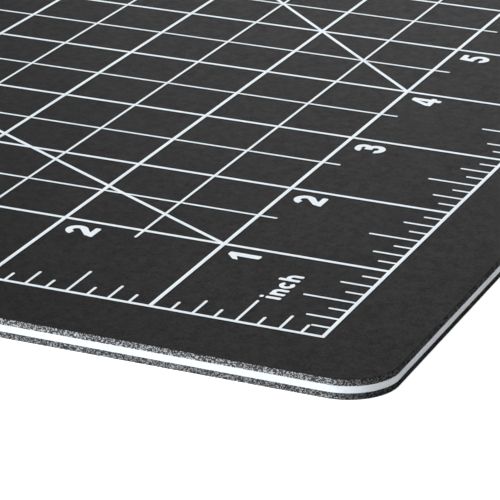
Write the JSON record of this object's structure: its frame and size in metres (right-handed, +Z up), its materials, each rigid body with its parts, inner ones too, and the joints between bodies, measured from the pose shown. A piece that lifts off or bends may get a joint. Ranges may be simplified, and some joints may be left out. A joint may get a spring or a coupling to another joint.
{
  "type": "self healing cutting mat",
  "caption": "Flat three-ply self healing cutting mat with round corners, white core between black faces, and a printed inch grid with rulers and angle guides.",
  "frame": {"origin": "middle of the underside of the mat", "axes": "+X along the long side, +Y along the short side away from the lower ruler, +Z up out of the printed face"},
  "size_m": [0.4572, 0.3048, 0.003],
  "materials": {
    "cutting_face_pvc": "fine matte grain",
    "core_pvc": "smooth matte",
    "backing_pvc": "fine matte grain",
    "print_ink": "satin screen print"
  },
  "bodies": {
    "root": {"top_ply": "cutting_face_pvc", "core_ply": "core_pvc", "bottom_ply": "backing_pvc", "print_border": "print_ink", "print_inch_lines": "print_ink", "print_half_inch_lines": "print_ink", "print_half_inch_ticks": "print_ink", "print_quarter_inch_ticks": "print_ink", "print_eighth_inch_ticks": "print_ink", "print_guides_60": "print_ink", "print_guides_45": "print_ink", "print_numerals": "print_ink", "print_unit_word": "print_ink"}
  },
  "joints": []
}
